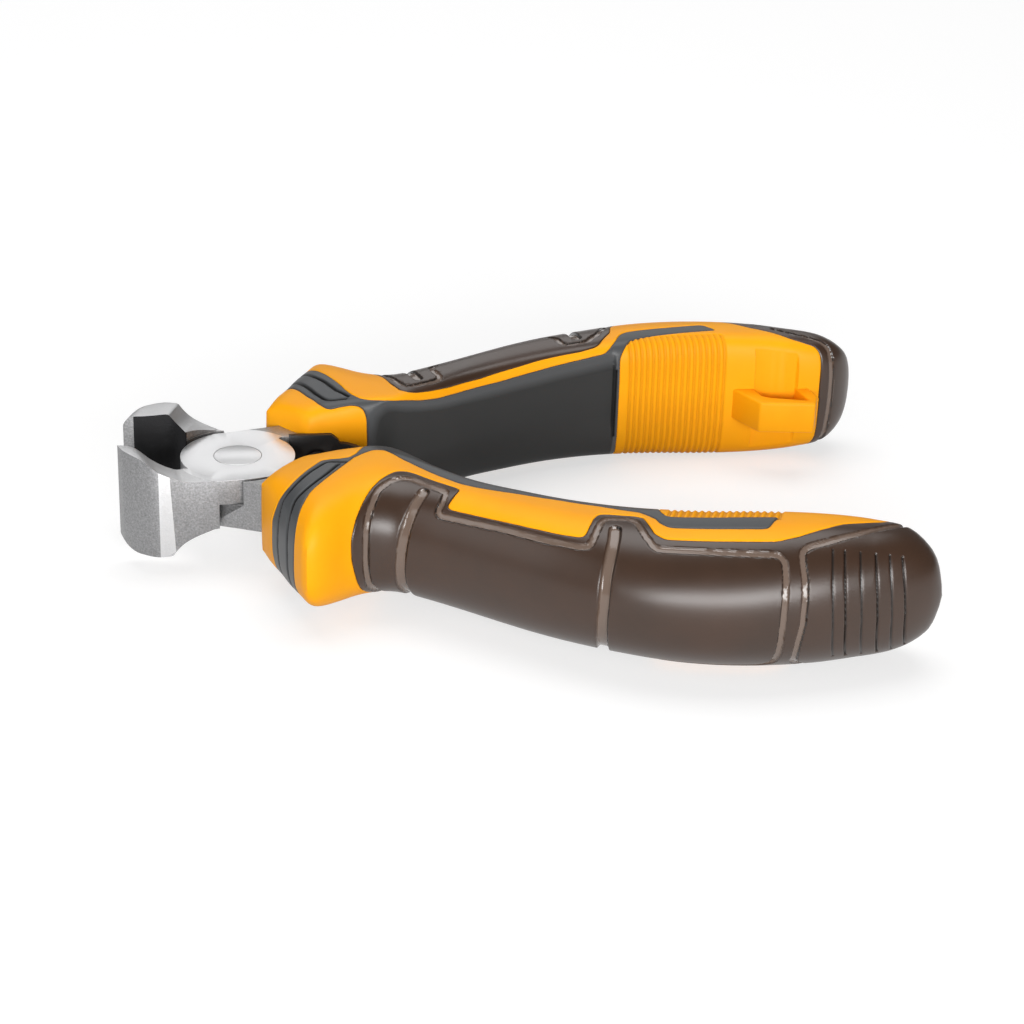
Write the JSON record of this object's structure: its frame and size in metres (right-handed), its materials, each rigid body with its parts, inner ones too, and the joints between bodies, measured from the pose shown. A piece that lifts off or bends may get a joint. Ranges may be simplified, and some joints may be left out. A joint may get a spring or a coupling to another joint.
{
  "type": "end cutting nippers",
  "caption": "Small end cutting nippers standing open, with a flush riveted joint, leaf springs, bowed three-material grips and a cord loop on the end of the far grip.",
  "frame": {"origin": "middle of the joint, on the rivet axis, half way through its height", "axes": "+X from the joint to the grips along the middle of the tool, +Y towards the far grip, +Z along the rivet axis to the side seen in the picture"},
  "size_m": [0.1076, 0.0868, 0.0196],
  "materials": {
    "steel": "satin, finely blasted",
    "rivet_steel": "ground flush with the cheeks",
    "spring_steel": "blackened",
    "yellow_plastic": "semi-gloss",
    "brown_rubber": "smooth soft skin with a dull shine",
    "grey_rubber": "smooth soft skin, matt"
  },
  "bodies": {
    "far_half": {"upper_lever": "steel", "pivot_rivet": "rivet_steel", "upper_leaf_spring": "spring_steel", "upper_spring_rivet": "spring_steel", "far_grip_core": "yellow_plastic", "far_outer_skin": "brown_rubber", "far_inner_skin": "grey_rubber"},
    "near_half": {"lower_lever": "steel", "lower_leaf_spring": "spring_steel", "lower_spring_rivet": "spring_steel", "near_grip_core": "yellow_plastic", "near_outer_skin": "brown_rubber", "near_inner_skin": "grey_rubber"}
  },
  "joints": [
    {"name": "pivot", "type": "hinge", "parent": "far_half", "child": "near_half", "pos_m": [0, 0, 0], "axis": [0, 0, 1], "range_deg": [0, 33.3], "stiffness_Nm_per_rad": 0.6, "springref_deg": -11.46, "deforming": ["upper_leaf_spring", "lower_leaf_spring"]}
  ]
}
